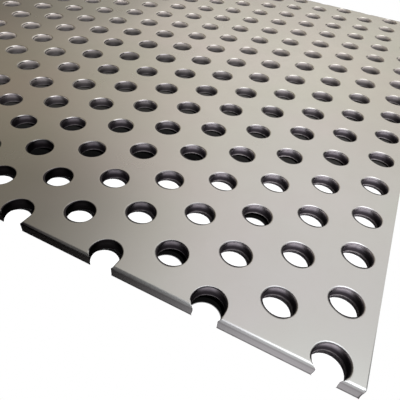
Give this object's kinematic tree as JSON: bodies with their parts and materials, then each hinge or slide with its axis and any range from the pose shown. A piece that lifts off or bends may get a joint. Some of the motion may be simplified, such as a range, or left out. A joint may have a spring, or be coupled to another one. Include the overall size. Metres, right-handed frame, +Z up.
{
  "type": "perforated metal sheet",
  "caption": "flat square metal sheet with round holes in a staggered pattern, sheared through the holes at two edges; a guard, screen, sieve or cladding stock",
  "frame": {"origin": "middle of the sheet's underside, on the surface it lies on", "axes": "+Z up, through the thickness; X along the front edge; Y along the straight columns of holes, from the deeply notched edge to the other"},
  "size_m": [0.3, 0.3, 0.004],
  "materials": {
    "satin_steel": "satin, smooth rolled, with bright punched rims and dark cut edges"
  },
  "bodies": {
    "root": {"perforated_sheet": "satin_steel"}
  },
  "joints": []
}
